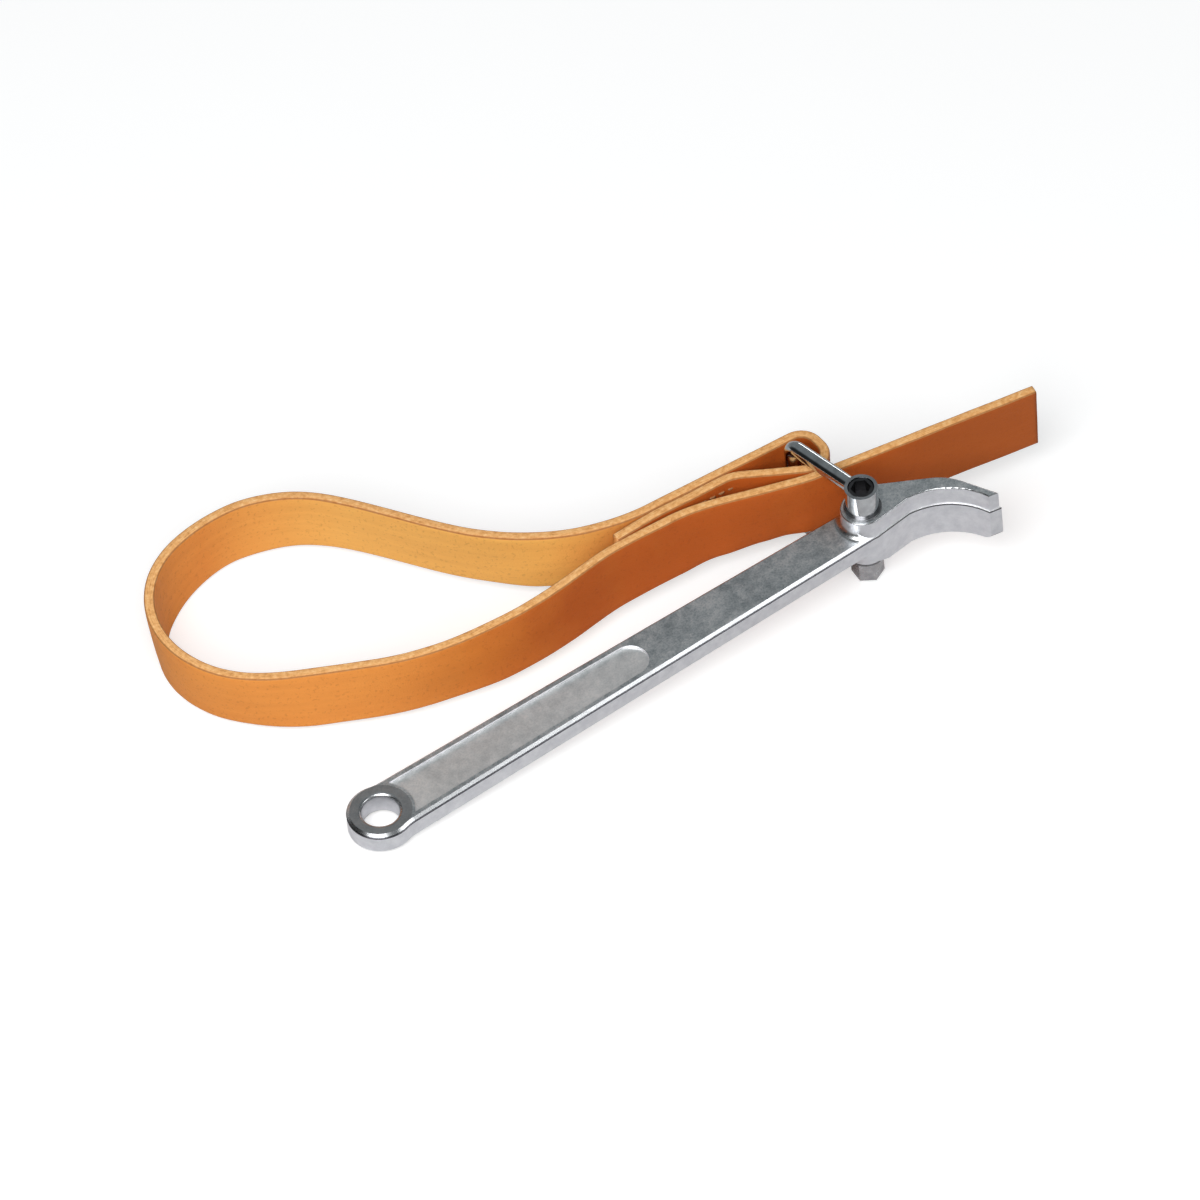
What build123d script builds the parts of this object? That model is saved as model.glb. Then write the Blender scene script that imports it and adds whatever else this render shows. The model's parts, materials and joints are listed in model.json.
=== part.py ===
from build123d import *
from math import atan2, cos, degrees, hypot, radians, sin
import os

os.makedirs("parts", exist_ok=True)

# ---------------------------------------------------------------------------
# Strap-type oil filter wrench, lying on a flat surface at z = 0.
# +X runs along the handle from the tail to the claw, +Y towards the shackle.
# The forged handle leans on its tail and on the nut under its pivot.
# Millimetres and degrees.
# ---------------------------------------------------------------------------

# Place of the pivot in plan, measured from the middle of the footprint.
pivot_x = 72.59
pivot_y = -53.37

# Forged handle: a tapering bar with a round tail, and a tall head with a claw.
bar_thickness = 8.6
tail_width = 21.0
neck_width = 15.6
tail_radius = 11.4
tail_blend = 14.0
hole_reach = 197.8          # pivot to hanging hole
hole_radius = 6.3
hole_rounding = 1.4
bar_bevel = 1.1
panel_length = 108.0        # recessed panel, from the hole's centre to its round end
panel_depth = 0.9
panel_rim = 2.5             # width of the bar's face left on each side of the panel
panel_clearance = 11.6      # radius round the hole that the panel keeps away from

head_height = 22.0
head_rounding = 0.5
head_radius = 7.9
claw_radius = 24.6          # hollow face that bites on the filter
claw_centre = (12.0, -31.0)
claw_start = 2.0            # the hollow begins this far past the claw's centre
claw_mid_angle = 52.0
claw_tip_inner = (35.2, -22.9)
claw_tip_outer = (39.5, -23.7)
claw_shoulder = (8.5, 6.6)
claw_elbow = (30.4, -6.2)
shoulder_radius = 10.0
elbow_radius = 20.0
ledge_height = 3.4          # level of the forging step on the head, above mid-plane
ledge_width = 0.3
tip_rounding = 3.0
ramp_start = -11.0          # the head's underside slopes up to the bar here
ramp_end = 4.0
boss_fillet = 3.0

# Shackle: a bent rod, with a collar on its upper arm and a nut on its lower arm.
rod_diameter = 5.4
shackle_height = 43.0
web_u = -6.0                # place of the upright web, from the pivot
web_v = 31.2
bend_radius = 3.4
collar_radius = 5.6
counterbore_radius = 4.5
counterbore_depth = 6.2
washer_radius = 6.4
washer_thickness = 0.8
pivot_gap = 0.1             # end float between each washer and the head
nut_width = 9.6             # across flats
nut_turn = -35.7
nut_chamfer = 0.6

# Pivot screw: a smooth shank with a socket head.
shank_radius = 3.0
running_clearance = 0.06
screw_head_radius = 4.4
screw_head_sink = 0.3
socket_width = 6.0          # hex key size
socket_depth = 4.8
socket_turn = 30.0

# Leather strap, standing on its edge.
strap_thickness = 3.5
strap_height = 25.0
strap_top = 34.75           # height of its top edge level with the pivot
strap_rise_x = 0.0330       # climb of the strap per millimetre along X and Y
strap_rise_y = -0.0230

# Stitches through the folded end of the strap.
fold_spacing = 3.55         # between the middles of the two layers
seam_reach = 33.5           # from the eye to the first stitch
stitch_rows = 2
stitch_pitch = 3.6
stitch_count = 8
stitch_length = 2.8
stitch_width = 0.9
stitch_proud = 0.35
stitch_row_spacing = 17.0

# ---------------------------------------------------------------------------
# Shared frames
# ---------------------------------------------------------------------------

# The tail's lower edge and the foot of the nut both touch the ground.
tail_contact = hole_reach + tail_radius - bar_bevel
foot_contact = 5.4
foot_drop = shackle_height / 2
tilt = atan2(foot_drop - bar_thickness / 2, tail_contact - foot_contact)
pivot_height = foot_contact * sin(tilt) + foot_drop * cos(tilt)

pivot_point = Vector(pivot_x, pivot_y, pivot_height)
handle_dir = Vector(cos(tilt), 0, sin(tilt))
pin_dir = Vector(-sin(tilt), 0, cos(tilt))
pin_axis = Axis(pivot_point, pin_dir)
tool_plane = Plane(origin=pivot_point, x_dir=handle_dir, z_dir=pin_dir)
side_plane = Plane(origin=pivot_point, x_dir=handle_dir, z_dir=(0, -1, 0))

web_reach = hypot(web_u, web_v)
arm_dir = handle_dir * (web_u / web_reach) + Vector(0, 1, 0) * (web_v / web_reach)
arm_plane = Plane(origin=pivot_point, x_dir=arm_dir, z_dir=arm_dir.cross(pin_dir))

strap_plane = Plane(
    origin=(pivot_x, pivot_y, strap_top),
    x_dir=(1, 0, strap_rise_x),
    z_dir=(-strap_rise_x, -strap_rise_y, 1),
)

# ---------------------------------------------------------------------------
# Outline of the head and claw, seen along the pivot
# ---------------------------------------------------------------------------

claw_middle = (
    claw_centre[0] + claw_radius * cos(radians(claw_mid_angle)),
    claw_centre[1] + claw_radius * sin(radians(claw_mid_angle)),
)
hollow_start = (claw_centre[0] + claw_start, claw_centre[1] + claw_radius)

with BuildSketch() as head_outline:
    with BuildLine():
        front = Line((0, -head_radius), hollow_start)
        hollow = ThreePointArc(front @ 1, claw_middle, claw_tip_inner)
        Polyline(
            hollow @ 1,
            claw_tip_outer,
            claw_elbow,
            claw_shoulder,
            (0, head_radius),
            front @ 0,
        )
    make_face()
    Circle(head_radius)
    outline_corners = head_outline.vertices()
    fillet(outline_corners.sort_by_distance((*claw_elbow, 0))[0], radius=elbow_radius)
    fillet(outline_corners.sort_by_distance((*claw_shoulder, 0))[0], radius=shoulder_radius)

# ---------------------------------------------------------------------------
# Handle, one forging
# ---------------------------------------------------------------------------

with BuildPart() as handle:
    # Bar and round tail.
    with BuildSketch(tool_plane.offset(-bar_thickness / 2)) as bar_outline:
        with BuildLine():
            Polyline(
                (0, -neck_width / 2),
                (0, neck_width / 2),
                (-hole_reach, tail_width / 2),
                (-hole_reach, -tail_width / 2),
                close=True,
            )
        make_face()
        with Locations((-hole_reach, 0)):
            Circle(tail_radius)
        tail_corners = bar_outline.vertices().sort_by(Axis.X)[:2]
        fillet(tail_corners, radius=tail_blend)
    extrude(amount=bar_thickness)
    bar_faces = handle.faces().sort_by(pin_axis)
    chamfer(bar_faces[0].edges() + bar_faces[-1].edges(), bar_bevel)

    # Head and claw, in two steps with a ledge between them.
    with BuildSketch(tool_plane.offset(-head_height / 2)):
        add(head_outline.sketch)
    extrude(amount=head_height / 2 + ledge_height)
    with BuildSketch(tool_plane.offset(ledge_height)):
        add(head_outline.sketch)
        offset(amount=-ledge_width)
    extrude(amount=head_height / 2 - ledge_height)

    # Hollow corner where the bar meets the head, softened top edge, rounded claw tip.
    boss_foot = handle.edges().filter_by(GeomType.CIRCLE).filter_by(
        lambda edge: abs(edge.radius - head_radius + ledge_width) < 0.01
    )
    fillet(boss_foot.sort_by_distance(pivot_point - handle_dir * head_radius)[0], boss_fillet)
    fillet(handle.faces().sort_by(pin_axis)[-1].edges(), head_rounding)
    tip_edges = handle.faces().sort_by(pin_axis)[0].edges().filter_by(GeomType.LINE)
    fillet(tip_edges.sort_by(SortBy.LENGTH)[0], tip_rounding)

    # Slope under the head, leaving a flat boss round the pivot.
    with BuildSketch(side_plane):
        with BuildLine():
            Polyline(
                (ramp_start, -bar_thickness / 2),
                (ramp_end, -head_height / 2),
                (ramp_start, -head_height / 2),
                close=True,
            )
        make_face()
    extrude(amount=neck_width, both=True, mode=Mode.SUBTRACT)
    with BuildSketch(tool_plane.offset(-head_height / 2)):
        Circle(washer_radius)
    extrude(amount=head_height / 2)

    # Recessed panels on both faces of the bar.
    taper = (tail_width - neck_width) / 2 / hole_reach
    panel_end = -hole_reach + panel_length
    end_half_width = neck_width / 2 - taper * panel_end - panel_rim
    start_half_width = tail_width / 2 - panel_rim
    for level, inward in ((bar_thickness / 2, -1), (-bar_thickness / 2, 1)):
        with BuildSketch(tool_plane.offset(level)):
            with BuildLine():
                Polyline(
                    (-hole_reach, -start_half_width),
                    (-hole_reach, start_half_width),
                    (panel_end - end_half_width, end_half_width),
                    (panel_end - end_half_width, -end_half_width),
                    close=True,
                )
            make_face()
            with Locations((panel_end - end_half_width, 0)):
                Circle(end_half_width)
            with Locations((-hole_reach, 0)):
                Circle(panel_clearance, mode=Mode.SUBTRACT)
        extrude(amount=inward * panel_depth, mode=Mode.SUBTRACT)

    # Hanging hole and pivot bore.
    with BuildSketch(tool_plane.offset(bar_thickness / 2)):
        with Locations((-hole_reach, 0)):
            Circle(hole_radius)
    extrude(amount=-bar_thickness, mode=Mode.SUBTRACT)
    hole_edges = handle.edges().filter_by(
        lambda edge: edge.geom_type == GeomType.CIRCLE and abs(edge.radius - hole_radius) < 0.01
    )
    fillet(hole_edges, hole_rounding)
    with BuildSketch(tool_plane.offset(head_height / 2)):
        Circle(shank_radius + running_clearance)
    extrude(amount=-head_height, mode=Mode.SUBTRACT)

handle.part.label = "handle"
export_step(handle.part, "parts/handle.step")

# ---------------------------------------------------------------------------
# Shackle rod, bent to a U, with its collar and nut
# ---------------------------------------------------------------------------

arm_level = (shackle_height - rod_diameter) / 2
washer_level = head_height / 2 + pivot_gap
collar_level = washer_level + washer_thickness
collar_height = shackle_height / 2 - collar_level

with BuildPart() as shackle_rod:
    with BuildLine(arm_plane) as rod_line:
        FilletPolyline(
            (1, arm_level),
            (web_reach, arm_level),
            (web_reach, -arm_level),
            (1, -arm_level),
            radius=bend_radius,
        )
    with BuildSketch(Plane(origin=rod_line.line @ 0, z_dir=rod_line.line % 0)):
        Circle(rod_diameter / 2)
    sweep()
    with BuildSketch(tool_plane.offset(collar_level)):
        Circle(collar_radius)
    extrude(amount=head_height, mode=Mode.SUBTRACT)
    with BuildSketch(tool_plane.offset(-collar_level)):
        RegularPolygon(nut_width / 2, 6, major_radius=False, rotation=nut_turn)
    extrude(amount=-head_height, mode=Mode.SUBTRACT)

shackle_rod.part.label = "shackle_rod"
export_step(shackle_rod.part, "parts/shackle_rod.step")

with BuildPart() as shackle_collar:
    with BuildSketch(tool_plane.offset(collar_level)):
        Circle(collar_radius)
        Circle(shank_radius + running_clearance, mode=Mode.SUBTRACT)
    extrude(amount=collar_height)
    with BuildSketch(tool_plane.offset(shackle_height / 2)):
        Circle(counterbore_radius)
    extrude(amount=-counterbore_depth, mode=Mode.SUBTRACT)

shackle_collar.part.label = "shackle_collar"
export_step(shackle_collar.part, "parts/shackle_collar.step")

with BuildPart() as shackle_nut:
    with BuildSketch(tool_plane.offset(-collar_level)):
        RegularPolygon(nut_width / 2, 6, major_radius=False, rotation=nut_turn)
    extrude(amount=-collar_height)
    chamfer(shackle_nut.faces().sort_by(pin_axis)[0].edges(), nut_chamfer)
    with BuildSketch(tool_plane.offset(-collar_level)):
        Circle(shank_radius + running_clearance / 2)
    extrude(amount=-collar_height, mode=Mode.SUBTRACT)

shackle_nut.part.label = "shackle_nut"
export_step(shackle_nut.part, "parts/shackle_nut.step")

# ---------------------------------------------------------------------------
# Pivot screw and the washers on each side of the head
# ---------------------------------------------------------------------------

screw_top = shackle_height / 2 - screw_head_sink
screw_seat = shackle_height / 2 - counterbore_depth

with BuildPart() as pivot_screw:
    with BuildSketch(tool_plane.offset(screw_seat)):
        Circle(screw_head_radius)
    extrude(amount=screw_top - screw_seat)
    chamfer(pivot_screw.faces().sort_by(pin_axis)[-1].edges(), screw_head_sink)
    with BuildSketch(tool_plane.offset(screw_seat)):
        Circle(shank_radius)
    extrude(amount=-screw_seat - screw_top)
    chamfer(pivot_screw.faces().sort_by(pin_axis)[0].edges(), nut_chamfer)
    with BuildSketch(tool_plane.offset(screw_top)):
        RegularPolygon(socket_width / 2, 6, major_radius=False, rotation=socket_turn)
    extrude(amount=-socket_depth, mode=Mode.SUBTRACT)

pivot_screw.part.label = "pivot_screw"
export_step(pivot_screw.part, "parts/pivot_screw.step")

with BuildPart() as upper_washer:
    with BuildSketch(tool_plane.offset(washer_level)):
        Circle(washer_radius)
        Circle(shank_radius + running_clearance, mode=Mode.SUBTRACT)
    extrude(amount=washer_thickness)

upper_washer.part.label = "upper_washer"
export_step(upper_washer.part, "parts/upper_washer.step")

with BuildPart() as lower_washer:
    with BuildSketch(tool_plane.offset(-washer_level)):
        Circle(washer_radius)
        Circle(shank_radius + running_clearance, mode=Mode.SUBTRACT)
    extrude(amount=-washer_thickness)

lower_washer.part.label = "lower_washer"
export_step(lower_washer.part, "parts/lower_washer.step")

# ---------------------------------------------------------------------------
# Leather strap: tail end, free run past the pivot, filter loop, main run,
# eye round the web, and the end folded back against the main run
# ---------------------------------------------------------------------------

eye_corner = Vector(4.3, 39.4)
neck_corner = Vector(-95.8, 44.1)
main_run = (neck_corner - eye_corner).normalized()
inward = Vector(-main_run.Y, main_run.X)


def beside_main_run(reach, inset):
    """Plan point this far along the main run from the eye, set in from its middle."""
    return eye_corner + main_run * reach + inward * inset


strap_corners = [
    ((75.5, 7.4), None),
    ((-8.0, 20.7), 50),
    ((-48.0, 33.6), 60),
    ((-80.0, 34.8), 80),
    ((-116.0, 29.9), 100),
    ((-156.0, 33.4), 80),
    ((-222.4, 67.2), 38),
    ((-217.2, 123.4), 38),
    ((-152.2, 131.9), 43),
    (neck_corner, 75),
    (eye_corner, 6),
    ((4.3, 18.2), 7.2),
    (beside_main_run(31.9, fold_spacing), 14),
    (beside_main_run(61.4, fold_spacing), 60),
    ((-74.5, 38.15), None),
]

with BuildPart() as leather_strap:
    with BuildSketch(strap_plane):
        with BuildLine():
            FilletPolyline(
                *[point for point, _ in strap_corners],
                radius=[bend for _, bend in strap_corners if bend],
            )
        trace(line_width=strap_thickness)
    extrude(amount=-strap_height)

leather_strap.part.label = "leather_strap"
export_step(leather_strap.part, "parts/leather_strap.step")

# Thread: two rows of stitches through the main run and the folded end.
with BuildPart() as strap_thread:
    for row in range(stitch_rows):
        row_depth = strap_height / 2 + (row - 0.5) * stitch_row_spacing
        with BuildSketch(strap_plane.offset(-row_depth - stitch_width / 2)):
            for number in range(stitch_count):
                with Locations(beside_main_run(seam_reach + number * stitch_pitch, fold_spacing / 2)):
                    Rectangle(
                        stitch_length,
                        fold_spacing + strap_thickness + 2 * stitch_proud,
                        rotation=degrees(atan2(main_run.Y, main_run.X)),
                    )
        extrude(amount=stitch_width)

strap_thread.part.label = "strap_thread"
export_step(strap_thread.part, "parts/strap_thread.step")
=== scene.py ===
import json
import math

import bpy
from mathutils import Matrix, Vector, noise


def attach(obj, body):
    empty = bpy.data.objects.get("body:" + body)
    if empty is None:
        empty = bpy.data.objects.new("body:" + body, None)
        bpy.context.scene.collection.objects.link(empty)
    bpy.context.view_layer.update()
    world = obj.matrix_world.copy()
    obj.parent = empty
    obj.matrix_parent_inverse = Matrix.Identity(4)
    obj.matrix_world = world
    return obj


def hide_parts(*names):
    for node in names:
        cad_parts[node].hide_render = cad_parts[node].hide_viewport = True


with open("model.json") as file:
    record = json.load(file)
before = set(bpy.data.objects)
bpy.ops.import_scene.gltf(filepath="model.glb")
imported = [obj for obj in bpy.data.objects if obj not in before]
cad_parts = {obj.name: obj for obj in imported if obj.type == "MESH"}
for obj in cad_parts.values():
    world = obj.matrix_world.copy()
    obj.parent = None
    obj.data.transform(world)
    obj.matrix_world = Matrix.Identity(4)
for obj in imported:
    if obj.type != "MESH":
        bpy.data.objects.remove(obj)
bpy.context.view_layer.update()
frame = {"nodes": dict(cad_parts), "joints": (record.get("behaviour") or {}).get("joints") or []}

# Strap-type oil filter wrench. The metal pieces are the CAD nodes with procedural finishes.
# The leather strap and its thread are new meshes in the place of their plain CAD solids.
# Metres, +X along the handle towards the claw, +Z up.

MM = 0.001

# ---------------------------------------------------------------------------
# Places taken from the frame
# ---------------------------------------------------------------------------

swing = next(joint for joint in frame["joints"] if joint["name"] == "shackle_swing")
PIVOT = Vector(swing["pos_m"])
PIN_DIR = Vector(swing["axis"]).normalized()
HANDLE_DIR = Vector((PIN_DIR.z, 0, -PIN_DIR.x))     # along the handle, square to the pin

# ---------------------------------------------------------------------------
# Places on the handle that its finish follows
# ---------------------------------------------------------------------------

# The recessed panels of the bar lie nearer its middle plane than its faces do.
PANEL_LEVEL = 3.8 * MM

# Painted shade: a dark line in the base colour runs under the bar's top bevel and under the head's
# ledge.
SHADE_BAND_LOW = 2.7 * MM
SHADE_BAND_HIGH = 3.45 * MM

HOLE_REACH = 197.8 * MM         # pivot to hanging hole
HOLE_CENTRE = PIVOT - HANDLE_DIR * HOLE_REACH
HOLE_RIM = 8.2 * MM             # radius of the rounded rim of the hanging hole
HOLE_BOSS = 11.5 * MM           # radius of the flat ring round it

# ---------------------------------------------------------------------------
# Strap dimensions
# ---------------------------------------------------------------------------

THICKNESS = 3.5 * MM
HEIGHT = 25.0 * MM
TOP = 34.75 * MM            # height of the strap's top edge level with the pivot
RISE_X = 0.0330             # climb of the strap along X and Y
RISE_Y = -0.0230
STRAP_UP = Vector((-RISE_X, -RISE_Y, 1)).normalized()
CORNER = 0.55 * MM          # rounding of the strap's long corners
CROWN = 0.12 * MM           # swelling of its cut edges
STATION = 1.3 * MM          # spacing of sections along the strap
ARC_STEP = 0.5              # spacing of route points round a bend, millimetres

# Slight unevenness of the leather: size and length of each wave.
EDGE_WAVE = 0.18 * MM
EDGE_WAVE_LENGTH = 18 * MM
RIPPLE = 0.10 * MM
RIPPLE_LENGTH = 12 * MM
RIPPLE_HEIGHT = 9 * MM
LEAN_CURVE = 1.3            # the lean grows a little faster towards the lower edge

# The main run goes straight from the eye round the shackle's web to the loop's neck. The
# strap's end is folded back and stitched against it. Millimetres in plan from the pivot.
EYE_CORNER = Vector((4.3, 39.4))
NECK_CORNER = Vector((-95.8, 44.1))
MAIN_RUN = (NECK_CORNER - EYE_CORNER).normalized()
INWARD = Vector((-MAIN_RUN.y, MAIN_RUN.x))
FOLD_SPACING = 3.55         # between the middles of the two layers


def beside_main_run(reach, inset):
    """Plan point this far along the main run from the eye, set in from its middle."""
    return EYE_CORNER + MAIN_RUN * reach + INWARD * inset


def strap_top(point):
    """The place on the strap's upper edge above a plan point in metres."""
    level = TOP + RISE_X * point.x + RISE_Y * point.y
    return Vector((PIVOT.x + point.x, PIVOT.y + point.y, level))


# The strap's centre line in plan from the pivot, millimetres: corner and bend radius.
ROUTE = [
    (75.5, 7.4, 0),
    (-8.0, 20.7, 50),
    (-48.0, 33.6, 60),
    (-80.0, 34.8, 80),
    (-116.0, 29.9, 100),
    (-156.0, 33.4, 80),
    (-222.4, 67.2, 38),
    (-217.2, 123.4, 38),
    (-152.2, 131.9, 43),
    (*NECK_CORNER, 75),
    (*EYE_CORNER, 6),
    (4.3, 18.2, 7.2),
    (*beside_main_run(31.9, FOLD_SPACING), 14),
    (*beside_main_run(61.4, FOLD_SPACING), 60),
    (-74.5, 38.15, 0),
]

# How far the strap's lower edge stands outside its upper edge, against the place along X
# from the pivot, millimetres: first on the run past the pivot, then from the loop's round
# end onwards.
LEAN_NEAR = [
    (-240, -3.0), (-214, -3.3), (-188, 0.0), (-150, 0.0), (-126, 1.8), (-96, 2.3),
    (-54, 1.9), (-38, 0.0), (-24, -1.2), (-17, -1.6), (-8, -0.3), (0, 0.0),
]
LEAN_FAR = [
    (-240, -3.0), (-205, -3.3), (-166, 0.4), (-130, 3.1), (-110, 3.2),
    (-94, 1.5), (-80, 0.0), (5, 0.0),
]

# Stitches through the doubled part, in two rows, millimetres.
SEAM_REACH = 33.5                   # from the eye to the first stitch
STITCH_PITCH = 3.6
STITCH_COUNT = 8
STITCH_DEPTHS = (4.0, 21.0)         # below the strap's upper edge
STITCH_LENGTH = 2.8
STITCH_RADIUS = 0.45
STITCH_SINK = 0.5                   # how far each end dives into the leather
PLY_DEPTH = 0.10                    # relief of the thread's three plies
PLY_TWIST = 7                       # change of the plies' phase over half a stitch, radians

# ---------------------------------------------------------------------------
# Geometry helpers
# ---------------------------------------------------------------------------

def rounded_route(corners):
    """Closely spaced plan points along straight runs joined by tangent arcs."""
    points = [Vector(corners[0][:2])]
    for before, corner, after in zip(corners, corners[1:], corners[2:]):
        here = Vector(corner[:2])
        way_in = (here - Vector(before[:2])).normalized()
        way_out = (Vector(after[:2]) - here).normalized()
        turn = -way_in.angle_signed(way_out)
        setback = corner[2] * math.tan(abs(turn) / 2)
        side = Vector((-way_in.y, way_in.x)) * math.copysign(1, turn)
        start = here - way_in * setback
        centre = start + side * corner[2]
        steps = max(2, math.ceil(corner[2] * abs(turn) / ARC_STEP))
        for step in range(steps + 1):
            swept = Matrix.Rotation(turn * step / steps, 2)
            points.append(centre + swept @ (start - centre))
    points.append(Vector(corners[-1][:2]))
    return [point * MM for point in points]


def evenly_spaced(points, spacing):
    """The same line with points evenly spaced, about this far apart."""
    lengths = [(b - a).length for a, b in zip(points, points[1:])]
    total = sum(lengths)
    count = round(total / spacing)
    made = []
    travelled = 0.0
    index = 0
    for number in range(count + 1):
        distance = total * number / count
        while index < len(lengths) - 1 and travelled + lengths[index] < distance:
            travelled += lengths[index]
            index += 1
        share = (distance - travelled) / lengths[index] if lengths[index] else 0.0
        made.append(points[index].lerp(points[index + 1], min(1.0, max(0.0, share))))
    return made


def smoothstep(value, low, high):
    """Smooth rise from 0 at low to 1 at high."""
    share = min(1.0, max(0.0, (value - low) / (high - low)))
    return share * share * (3 - 2 * share)


def along_table(table, place):
    """Smooth value between the pairs of a short table, level past its ends."""
    if place <= table[0][0]:
        return table[0][1]
    for (low, first), (high, second) in zip(table, table[1:]):
        if place <= high:
            return first + (second - first) * smoothstep(place, low, high)
    return table[-1][1]


def relaxed(points, passes, strength):
    """Evens out the changes of bend, by strength(point) from 0 to 1 at each place."""
    weights = [strength(point) for point in points]
    for _ in range(passes):
        middle = [
            here.lerp((before + after) / 2, 0.5 * weight)
            for before, here, after, weight in zip(points, points[1:], points[2:], weights[1:])
        ]
        points = [points[0], *middle, points[-1]]
    return points


def tube_faces(rings, sides):
    """Faces of a capped tube whose points go round it ring by ring."""
    faces = []
    for ring_number in range(rings - 1):
        for side in range(sides):
            a = ring_number * sides + side
            b = ring_number * sides + (side + 1) % sides
            faces.append((a, a + sides, b + sides, b))
    last = (rings - 1) * sides
    faces.append(tuple(range(sides)))
    faces.append(tuple(reversed(range(last, last + sides))))
    return faces


def mesh_piece(name, vertices, faces, material, smooth=True):
    mesh = bpy.data.meshes.new(name)
    mesh.from_pydata(vertices, [], faces)
    mesh.materials.append(material)
    mesh.polygons.foreach_set("use_smooth", [smooth] * len(mesh.polygons))
    mesh.update()
    piece = bpy.data.objects.new(name, mesh)
    bpy.context.scene.collection.objects.link(piece)
    return piece


# ---------------------------------------------------------------------------
# Node helpers
# ---------------------------------------------------------------------------

def new_material(name):
    material = bpy.data.materials.new(name)
    material.use_nodes = True
    return material, material.node_tree, material.node_tree.nodes["Principled BSDF"]


def node(tree, kind, settings=None, **inputs):
    made = tree.nodes.new("ShaderNode" + kind)
    for key, value in (settings or {}).items():
        setattr(made, key, value)
    for key, value in inputs.items():
        connect(tree, value, made.inputs[key.replace("_", " ")])
    return made


def connect(tree, value, socket):
    if isinstance(value, bpy.types.NodeSocket):
        tree.links.new(value, socket)
    else:
        socket.default_value = value


def maths(tree, operation, *values):
    made = tree.nodes.new("ShaderNodeMath")
    made.operation = operation
    for value, socket in zip(values, made.inputs):
        connect(tree, value, socket)
    return made.outputs[0]


def plus(tree, first, second):
    return maths(tree, "ADD", first, second)


def times(tree, first, second):
    return maths(tree, "MULTIPLY", first, second)


def vector_maths(tree, operation, first, second):
    """Number worked out from two vectors, such as their dot product."""
    made = node(tree, "VectorMath", {"operation": operation})
    connect(tree, first, made.inputs[0])
    connect(tree, tuple(second), made.inputs[1])
    return made.outputs["Value"]


def attribute(tree, name, output="Fac"):
    return node(tree, "Attribute", {"attribute_name": name}).outputs[output]


def fade(tree, value, limits, curve="SMOOTHSTEP"):
    """Rise from 0 at the first limit to 1 at the second, which may be the lower one."""
    made = node(
        tree, "MapRange", {"interpolation_type": curve},
        Value=value, From_Min=limits[0], From_Max=limits[1], To_Min=0.0, To_Max=1.0,
    )
    return made.outputs["Result"]


def add_bump(tree, shader, height, strength, distance):
    bump = node(tree, "Bump", Height=height, Strength=strength, Distance=distance)
    connect(tree, bump.outputs["Normal"], shader.inputs["Normal"])


def grey(level):
    return (level, level, level)


def ramp(tree, factor, *stops):
    """Colour ramp from (place, colour) stops."""
    made = tree.nodes.new("ShaderNodeValToRGB")
    elements = made.color_ramp.elements
    while len(elements) < len(stops):
        elements.new(1.0)
    for element, (place, colour) in zip(elements, stops):
        element.position = place
        channels = colour if isinstance(colour, tuple) else grey(colour)
        element.color = (*channels, 1.0)
    connect(tree, factor, made.inputs["Fac"])
    return made.outputs["Color"]


def mix(tree, factor, first, second, blend="MIX"):
    made = tree.nodes.new("ShaderNodeMix")
    made.data_type = "RGBA"
    made.blend_type = blend
    connect(tree, factor, made.inputs[0])
    for value, socket in ((first, made.inputs[6]), (second, made.inputs[7])):
        connect(tree, (*value, 1.0) if isinstance(value, tuple) else value, socket)
    return made.outputs[2]


def clouds(tree, place, scale, detail=3.0, roughness=0.5):
    made = node(tree, "TexNoise", Vector=place, Scale=scale, Detail=detail, Roughness=roughness)
    return made.outputs["Fac"]


def scaled(tree, place, x, y, z):
    made = node(tree, "Mapping", Vector=place, Scale=(x, y, z))
    return made.outputs["Vector"]


# ---------------------------------------------------------------------------
# Materials
# ---------------------------------------------------------------------------

# Places along X where the leather's colour changes, from none to all of it.
BURNT_PLACES = (-0.115, -0.015)         # bright at the loop, burnt orange towards the shackle
WORN_PLACES = (0.07, 0.12)              # darker on the free end
PALE_PLACES = (-0.108, -0.064)          # the inner face turns paler past the loop's round end: partly its own flesh tone, partly painted light
PALE_END_PLACES = (0.03, -0.02)         # and is pale no more where the strap is doubled


def hide_colour(tree, place, along, strap_place, blotches):
    """Colour of the leather's faces, by the place along X."""
    bright, tan, burnt = (0.87, 0.33, 0.064), (0.735, 0.228, 0.034), (0.53, 0.105, 0.0125)
    worn, flesh_and_light = (0.42, 0.088, 0.0115), (1.0, 0.565, 0.14)
    streak, pit = (0.50, 0.13, 0.025), (0.30, 0.06, 0.012)
    blotch_strength, streak_strength, pit_strength = 0.45, 0.35, 0.22

    unevenness = times(tree, maths(tree, "SUBTRACT", blotches, 0.5), blotch_strength)
    patina = plus(tree, fade(tree, along, BURNT_PLACES), unevenness)
    hide = ramp(tree, patina, (0.0, bright), (0.45, tan), (1.0, burnt))
    hide = mix(tree, fade(tree, along, WORN_PLACES), hide, worn)

    begun = fade(tree, along, PALE_PLACES, "LINEAR")
    not_ended = fade(tree, along, PALE_END_PLACES, "LINEAR")
    # Partly painted light: the flesh side's own paler tone, made paler still along the far wall, whose
    # inner face meets the lamps.
    pale = times(tree, attribute(tree, "flesh_side"), times(tree, begun, not_ended))
    hide = mix(tree, pale, hide, flesh_and_light)

    streaks = clouds(tree, scaled(tree, strap_place, 25.0, 420.0, 1.0), 1.0, detail=5.0, roughness=0.6)
    hide = mix(tree, times(tree, streaks, streak_strength), hide, streak)
    pits = ramp(tree, clouds(tree, place, 900.0, detail=2.0), (0.30, 1.0), (0.42, 0.0))
    return mix(tree, times(tree, pits, pit_strength), hide, pit)


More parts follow.
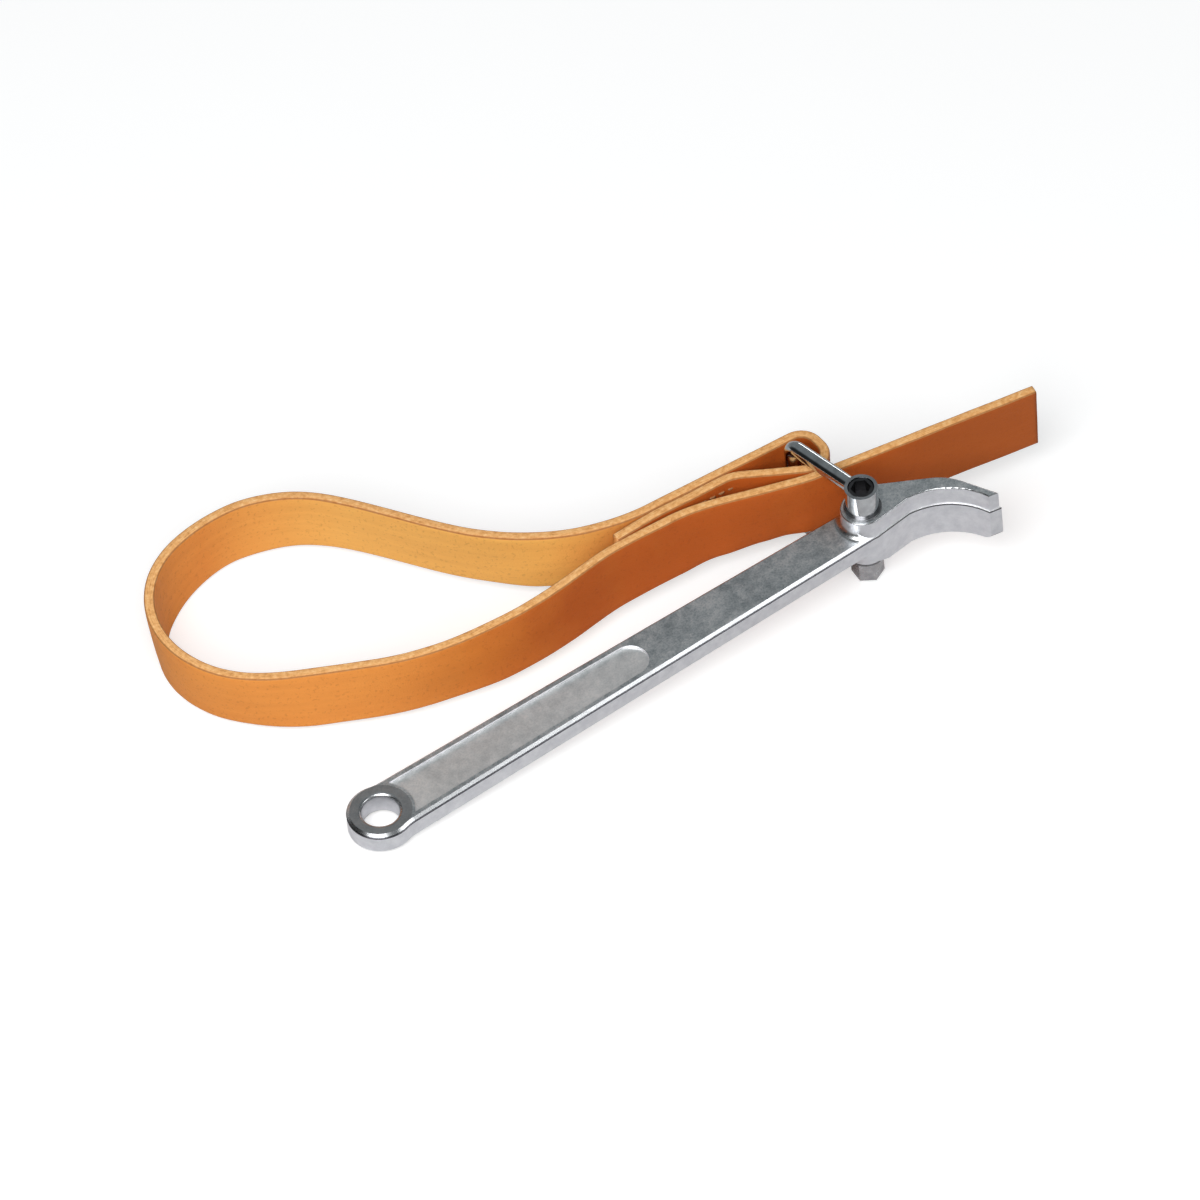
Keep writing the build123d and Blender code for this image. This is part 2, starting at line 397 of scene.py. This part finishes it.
def leather_material():
    """Vegetable-tanned leather: bright round the loop, burnt near the shackle, pale cut edges."""
    material, tree, shader = new_material("strap_leather")
    place = node(tree, "TexCoord").outputs["Object"]
    along = node(tree, "SeparateXYZ", Vector=place).outputs["X"]
    raw = attribute(tree, "raw_edge")
    strap_place = attribute(tree, "strap_place", "Vector")
    blotches = clouds(tree, place, 38.0, detail=4.0, roughness=0.6)
    hide = hide_colour(tree, place, along, strap_place, blotches)

    fibre_place = scaled(tree, strap_place, 260.0, 3000.0, 1.0)
    fibres = clouds(tree, fibre_place, 1.0, detail=4.0, roughness=0.65)
    flecks = clouds(tree, place, 700.0, detail=3.0, roughness=0.6)
    cut_dark, cut_tan, cut_pale = (0.55, 0.23, 0.065), (0.84, 0.43, 0.155), (0.95, 0.60, 0.28)
    cut_pattern = plus(tree, times(tree, fibres, 0.55), times(tree, flecks, 0.45))
    cut = ramp(tree, cut_pattern, (0.34, cut_dark), (0.50, cut_tan), (0.64, cut_pale))
    dark_line, line_strength = (0.30, 0.10, 0.028), 0.75
    colour = mix(tree, raw, hide, cut)
    line = times(tree, attribute(tree, "edge_line"), line_strength)
    colour = mix(tree, line, colour, dark_line)
    connect(tree, colour, shader.inputs["Base Color"])

    hide_rough, blotch_rough, cut_rough = 0.50, 0.16, 0.28
    rough = plus(tree, hide_rough, times(tree, blotches, blotch_rough))
    rough = plus(tree, rough, times(tree, raw, cut_rough))
    connect(tree, rough, shader.inputs["Roughness"])
    shader.inputs["Specular IOR Level"].default_value = 0.22

    pores = node(tree, "TexVoronoi", Vector=place, Scale=1300.0).outputs["Distance"]
    grain = plus(tree, times(tree, pores, 0.5), clouds(tree, place, 2600.0, detail=3.0))
    fibre_height = times(tree, fibres, 2.4)
    height = node(tree, "Mix", {"data_type": "FLOAT"}, Factor=raw, A=grain, B=fibre_height)
    add_bump(tree, shader, height.outputs["Result"], strength=0.32, distance=0.25 * MM)
    return material


def thread_material():
    """Waxed linen thread with twisted plies."""
    material, tree, shader = new_material("waxed_thread")
    place = node(tree, "TexCoord").outputs["Object"]
    plies = node(
        tree, "TexWave", {"wave_type": "BANDS", "bands_direction": "DIAGONAL"},
        Vector=place, Scale=900.0, Distortion=2.0, Detail=2.0,
    ).outputs["Fac"]
    colour = ramp(tree, plies, (0.1, (0.22, 0.09, 0.03)), (0.8, (0.52, 0.26, 0.10)))
    connect(tree, colour, shader.inputs["Base Color"])
    shader.inputs["Roughness"].default_value = 0.55
    add_bump(tree, shader, plies, strength=0.5, distance=0.1 * MM)
    return material


def handle_masks(tree, coords):
    """Where the handle's flat faces, walls, panels and hole ring are, and the band of painted shade
    under the bevel and ledge.
    """
    place = coords.outputs["Object"]
    facing = vector_maths(tree, "DOT_PRODUCT", coords.outputs["Normal"], PIN_DIR)
    facing = maths(tree, "ABSOLUTE", facing)
    flat = ramp(tree, facing, (0.955, 0.0), (0.985, 1.0))
    wall = ramp(tree, facing, (0.22, 1.0), (0.45, 0.0))

    height = vector_maths(tree, "DOT_PRODUCT", place, PIN_DIR)
    level = maths(tree, "SUBTRACT", height, PIVOT.dot(PIN_DIR))
    panel = maths(tree, "LESS_THAN", maths(tree, "ABSOLUTE", level), PANEL_LEVEL)
    from_hole = vector_maths(tree, "DISTANCE", place, HOLE_CENTRE)
    boss = maths(tree, "LESS_THAN", from_hole, HOLE_BOSS)

    above = maths(tree, "GREATER_THAN", level, SHADE_BAND_LOW)
    below = maths(tree, "LESS_THAN", level, SHADE_BAND_HIGH)
    clear_of_hole = maths(tree, "GREATER_THAN", from_hole, HOLE_RIM)
    crease_shade = times(tree, times(tree, above, below), clear_of_hole)
    return flat, wall, panel, boss, crease_shade


def forged_steel_material():
    """Drop-forged, blasted and plated steel: satin faces, smooth bevels, fine mottled walls."""
    material, tree, shader = new_material("forged_steel")
    coords = node(tree, "TexCoord")
    place = coords.outputs["Object"]
    flat, wall, panel, boss, crease_shade = handle_masks(tree, coords)

    blast = clouds(tree, place, 1500.0, detail=3.0, roughness=0.6)
    mottle = clouds(tree, place, 260.0, detail=4.0, roughness=0.65)
    bloom = clouds(tree, place, 55.0, detail=3.0, roughness=0.5)
    coarse = plus(tree, times(tree, mottle, 0.4), times(tree, bloom, 0.25))
    cloudy = plus(tree, times(tree, blast, 0.35), coarse)
    dull, satin_grey, bright = (0.46, 0.50, 0.52), (0.74, 0.77, 0.785), grey(1.0)
    satin = ramp(tree, cloudy, (0.38, dull), (0.50, satin_grey), (0.60, bright))
    panel_tint, panel_strength = (1.0, 0.99, 0.97), 0.55
    boss_tint, boss_strength = (0.40, 0.41, 0.42), 0.7
    satin = mix(tree, times(tree, panel, panel_strength), satin, panel_tint)
    satin = mix(tree, times(tree, boss, boss_strength), satin, boss_tint)

    side_dull, side_bright, bevel_tint = (0.74, 0.74, 0.78), (0.90, 0.90, 0.93), (0.44, 0.45, 0.46)
    # Painted shade: the band under the bevel and the ledge is tinted near black.
    crease_shade_tint, crease_shade_strength = (0.07, 0.07, 0.08), 0.95
    side = ramp(tree, mottle, (0.3, side_dull), (0.7, side_bright))
    colour = mix(tree, wall, bevel_tint, side)
    colour = mix(tree, times(tree, crease_shade, crease_shade_strength), colour, crease_shade_tint)
    colour = mix(tree, flat, colour, satin)
    connect(tree, colour, shader.inputs["Base Color"])
    shader.inputs["Metallic"].default_value = 1.0

    bevel_rough, wall_rough, flat_rough, panel_rough = 0.27, 0.42, 0.40, 0.53
    mottle_rough = 0.12
    rough = mix(tree, wall, grey(bevel_rough), grey(wall_rough))
    rough = mix(tree, flat, rough, grey(flat_rough))
    rough = mix(tree, times(tree, flat, panel), rough, grey(panel_rough))
    rough = plus(tree, rough, times(tree, maths(tree, "SUBTRACT", mottle, 0.5), mottle_rough))
    connect(tree, rough, shader.inputs["Roughness"])

    bevel_bump, face_bump = 0.05, 0.20
    height = plus(tree, blast, times(tree, mottle, 1.6))
    strength = plus(tree, bevel_bump, times(tree, maths(tree, "MAXIMUM", flat, wall), face_bump))
    add_bump(tree, shader, height, strength, distance=0.12 * MM)
    return material


def bright_steel_material(name, tint, roughness, speckle):
    """Smooth steel with a faint haze and fine scratches, from chrome to a dark screw."""
    material, tree, shader = new_material(name)
    place = node(tree, "TexCoord").outputs["Object"]
    haze = clouds(tree, place, 320.0, detail=4.0, roughness=0.6)
    scratches = clouds(tree, scaled(tree, place, 2400.0, 2400.0, 260.0), 1.0, detail=4.0, roughness=0.7)
    haze_darkening = 0.72
    dull = tuple(channel * haze_darkening for channel in tint)
    colour = ramp(tree, haze, (0.32, dull), (0.62, tint))
    connect(tree, colour, shader.inputs["Base Color"])
    shader.inputs["Metallic"].default_value = 1.0
    rough = plus(tree, roughness, times(tree, haze, speckle))
    connect(tree, rough, shader.inputs["Roughness"])
    add_bump(tree, shader, scratches, strength=0.04 + speckle * 0.3, distance=0.04 * MM)
    return material


FLOOR_GLOW = 0.54           # brightness that the floor adds for the camera alone


def floor_material():
    """Plain pale studio floor, which looks brighter to the camera than it lights the object."""
    material, tree, shader = new_material("floor_pale")
    place = node(tree, "TexCoord").outputs["Object"]
    tone = ramp(tree, clouds(tree, place, 3.0), (0.3, 0.57), (0.7, 0.59))
    connect(tree, tone, shader.inputs["Base Color"])
    shader.inputs["Roughness"].default_value = 0.9
    shader.inputs["Specular IOR Level"].default_value = 0.1
    shader.inputs["Emission Color"].default_value = (1.0, 1.0, 1.0, 1.0)
    seen = node(tree, "LightPath").outputs["Is Camera Ray"]
    connect(tree, times(tree, seen, FLOOR_GLOW), shader.inputs["Emission Strength"])
    return material


# ---------------------------------------------------------------------------
# Leather strap
# ---------------------------------------------------------------------------

def strap_section():
    """Points round the strap as (out, down, cut edge or not).

    They go down the outer face, along the bottom edge, up the inner face and back along the top.
    """
    face_rows = 14
    rim_steps = 3
    edge_steps = 4
    half = THICKNESS / 2
    outline = []
    for row in range(face_rows + 1):
        share = row / face_rows
        outline.append((half, CORNER + (HEIGHT - 2 * CORNER) * share, 0.0))
    for step in range(1, rim_steps + 1):
        angle = math.pi / 2 * step / rim_steps
        out = half - CORNER + CORNER * math.cos(angle)
        outline.append((out, HEIGHT - CORNER + CORNER * math.sin(angle), 1.0))
    for step in range(1, edge_steps):
        share = step / edge_steps
        out = (half - CORNER) * (1 - 2 * share)
        outline.append((out, HEIGHT + CROWN * math.sin(math.pi * share), 1.0))
    for step in range(rim_steps):
        angle = math.pi / 2 * step / rim_steps
        out = -half + CORNER - CORNER * math.sin(angle)
        outline.append((out, HEIGHT - CORNER + CORNER * math.cos(angle), 1.0))
    other_half = [(-out, HEIGHT - down, raw) for out, down, raw in outline]
    return outline + other_half


def loose_leather(point):
    """1 round the loop, where the leather bends freely, and 0 by the shackle."""
    held_until, free_from = 80 * MM, 105 * MM       # behind the pivot
    return smoothstep(-point.x, held_until, free_from)


def strap_path():
    """Stations along the strap as (plan point, outward direction, lean, distance)."""
    smoothing_passes = 60
    points = relaxed(evenly_spaced(rounded_route(ROUTE), STATION), smoothing_passes, loose_leather)
    round_end = min(range(len(points)), key=lambda index: points[index].x)
    stations = []
    travelled = 0.0
    for index, point in enumerate(points):
        before = points[max(0, index - 1)]
        after = points[min(len(points) - 1, index + 1)]
        heading = (after - before).normalized()
        travelled += (point - before).length
        table = LEAN_NEAR if index < round_end else LEAN_FAR
        lean = along_table(table, point.x / MM) * MM
        stations.append((point, Vector((-heading.y, heading.x, 0)), lean, travelled))
    return stations


def build_strap(material):
    """The strap as one tube of rounded sections, with the numbers that its material reads."""
    section = strap_section()
    stations = strap_path()
    line_width = 0.3 * MM
    wave_row, ripple_row = 3.7, 2.0         # unrelated rows of the noise field
    vertices = []
    places = []
    marks = {"raw_edge": [], "edge_line": [], "flesh_side": []}
    for point, outward, lean, travelled in stations:
        edge_wave = EDGE_WAVE * noise.noise(Vector((travelled / EDGE_WAVE_LENGTH, wave_row, 0.0)))
        for out, down, raw in section:
            share = max(0.0, down / HEIGHT)
            row = math.copysign(ripple_row, out)
            spot_in_noise = Vector((travelled / RIPPLE_LENGTH, down / RIPPLE_HEIGHT, row))
            away = out + lean * share ** LEAN_CURVE + RIPPLE * noise.noise(spot_in_noise)
            spot = strap_top(point) + outward * away - STRAP_UP * (down + edge_wave)
            spot.z = max(spot.z, 0.0)       # no lower than the floor
            vertices.append(spot)
            places += (travelled, out + down, 0.0)
            near_corner = abs(abs(out) - THICKNESS / 2) < line_width
            marks["raw_edge"].append(raw)
            marks["edge_line"].append(float(near_corner and raw > 0))
            marks["flesh_side"].append(float(out < 0 and raw == 0))
    faces = tube_faces(len(stations), len(section))
    strap = mesh_piece("strap_leather_band", vertices, faces, material)
    for name, values in marks.items():
        strap.data.attributes.new(name, "FLOAT", "POINT").data.foreach_set("value", values)
    place_mark = strap.data.attributes.new("strap_place", "FLOAT_VECTOR", "POINT")
    place_mark.data.foreach_set("vector", places)
    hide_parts("leather_strap")
    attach(strap, "strap")


# ---------------------------------------------------------------------------
# Thread
# ---------------------------------------------------------------------------

def stitch(centre, along, out):
    """Points of one twisted stitch whose ends dive into the leather, and its faces."""
    rings = 15
    sides = 12
    end_radius = 0.05
    vertices = []
    for ring_number in range(rings):
        share = 2 * ring_number / (rings - 1) - 1
        radius = STITCH_RADIUS * MM * max(end_radius, 1 - abs(share) ** 5)
        sink = STITCH_SINK * MM * share ** 4
        middle = centre + along * (share * STITCH_LENGTH / 2 * MM) - out * sink
        for side in range(sides):
            angle = -math.tau * side / sides
            ply = 1 + PLY_DEPTH * math.cos(3 * angle + PLY_TWIST * share)
            around = out * math.cos(angle) + STRAP_UP * math.sin(angle)
            vertices.append(middle + around * radius * ply)
    return vertices, tube_faces(rings, sides)


def build_thread(material):
    """Two rows of stitches on both outer faces of the doubled part."""
    climb = RISE_X * MAIN_RUN.x + RISE_Y * MAIN_RUN.y
    along = Vector((MAIN_RUN.x, MAIN_RUN.y, climb)).normalized()
    inward = Vector((INWARD.x, INWARD.y, 0))
    half = THICKNESS / MM / 2
    slant_size, slant_change = 0.05, 2.3        # small differences between hand-made stitches
    vertices = []
    faces = []
    for inset, out in ((-half, -inward), (FOLD_SPACING + half, inward)):
        for depth in STITCH_DEPTHS:
            for number in range(STITCH_COUNT):
                spot = beside_main_run(SEAM_REACH + number * STITCH_PITCH, inset) * MM
                slant = slant_size * math.sin(number * slant_change + depth)
                centre = strap_top(spot) - STRAP_UP * depth * MM
                heading = (along + STRAP_UP * slant).normalized()
                new_vertices, new_faces = stitch(centre, heading, out)
                start = len(vertices)
                vertices += new_vertices
                faces += [tuple(corner + start for corner in face) for face in new_faces]
    thread = mesh_piece("thread_stitches", vertices, faces, material)
    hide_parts("strap_thread")
    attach(thread, "strap")


# ---------------------------------------------------------------------------
# Studio
# ---------------------------------------------------------------------------

CAMERA_AZIMUTH = -35.7
CAMERA_ELEVATION = 47.0
CAMERA_DISTANCE = 6.0
SENSOR_WIDTH = 36.0         # millimetres
VIEW_WIDTH = 0.400          # width of floor across the picture's middle
AIM = Vector((-0.0059, -0.0117, 0.0))       # the point that the camera and lights face
DARK_SIDE = (-0.93, 0.32, 0.18)     # the unlit side of the studio


def direction(azimuth, elevation):
    """Unit vector towards a place seen from the object, azimuth 0 towards -Y."""
    turn = math.radians(azimuth)
    rise = math.radians(elevation)
    level = math.cos(rise)
    return Vector((math.sin(turn) * level, -math.cos(turn) * level, math.sin(rise)))


def aim(thing, place, target):
    thing.location = place
    thing.rotation_euler = (target - place).to_track_quat("-Z", "Y").to_euler()


def build_camera():
    camera = bpy.data.objects.new("camera", bpy.data.cameras.new("camera"))
    bpy.context.scene.collection.objects.link(camera)
    camera.data.sensor_width = SENSOR_WIDTH
    camera.data.lens = SENSOR_WIDTH * CAMERA_DISTANCE / VIEW_WIDTH
    camera.data.clip_start = 0.1
    camera.data.clip_end = 20.0
    aim(camera, AIM + direction(CAMERA_AZIMUTH, CAMERA_ELEVATION) * CAMERA_DISTANCE, AIM)
    bpy.context.scene.camera = camera


def build_light(name, azimuth, elevation, distance, width, height, power):
    light = bpy.data.lights.new(name, "AREA")
    light.shape = "RECTANGLE"
    light.size = width
    light.size_y = height
    light.energy = power
    lamp = bpy.data.objects.new(name, light)
    bpy.context.scene.collection.objects.link(lamp)
    lamp.visible_camera = False
    aim(lamp, AIM + direction(azimuth, elevation) * distance, AIM)


def build_world():
    world = bpy.data.worlds.new("studio")
    bpy.context.scene.world = world
    world.use_nodes = True
    tree = world.node_tree
    background = tree.nodes["Background"]
    way = node(tree, "TexCoord").outputs["Generated"]
    height = node(tree, "SeparateXYZ", Vector=way).outputs["Z"]
    horizon, low_sky, zenith = grey(0.36), (0.21, 0.222, 0.228), (0.187, 0.205, 0.212)
    dome = ramp(tree, height, (0.0, horizon), (0.25, low_sky), (1.0, zenith))
    side = vector_maths(tree, "DOT_PRODUCT", way, DARK_SIDE)
    shade = ramp(tree, side, (0.70, 1.0), (0.90, 0.08))
    dome = mix(tree, 1.0, dome, shade, "MULTIPLY")
    seen = node(tree, "LightPath").outputs["Is Camera Ray"]
    connect(tree, mix(tree, seen, dome, grey(0.95)), background.inputs["Color"])


def build_floor():
    half = 6.0
    corners = [(-half, -half, 0), (half, -half, 0), (half, half, 0), (-half, half, 0)]
    floor = mesh_piece("floor", corners, [(0, 1, 2, 3)], floor_material(), smooth=False)


# ---------------------------------------------------------------------------
# Assembly
# ---------------------------------------------------------------------------

build_camera()
build_strap(leather_material())
build_thread(thread_material())

# Each bright steel has its tint, its roughness and the speckle that haze adds to it.
# Painted shade: the washers' steel is tinted almost black, standing for the dark shadow ring under the
# collar.
washer_steel = bright_steel_material("washer_steel", (0.26, 0.26, 0.27), 0.18, 0.20)
finishes = {
    "handle": forged_steel_material(),
    "shackle_rod": bright_steel_material("chrome_rod", (0.66, 0.69, 0.71), 0.05, 0.10),
    "shackle_collar": bright_steel_material("chrome_collar", (0.68, 0.69, 0.71), 0.04, 0.06),
    "shackle_nut": bright_steel_material("plated_nut", (0.62, 0.61, 0.63), 0.18, 0.18),
    "pivot_screw": bright_steel_material("screw_steel", (0.10, 0.10, 0.105), 0.25, 0.20),
    "upper_washer": washer_steel,
    "lower_washer": washer_steel,
}
for name, finish in finishes.items():
    for slot in frame["nodes"][name].material_slots:
        slot.material = finish

build_floor()
build_world()
build_light("key", azimuth=-55, elevation=48, distance=1.3, width=0.9, height=0.9, power=17)
build_light("front", azimuth=30, elevation=34, distance=1.2, width=0.5, height=0.25, power=1.8)
build_light("back", azimuth=120, elevation=18, distance=1.4, width=0.8, height=0.2, power=2)

bpy.context.scene.view_settings.view_transform = "Standard"
bpy.context.view_layer.update()
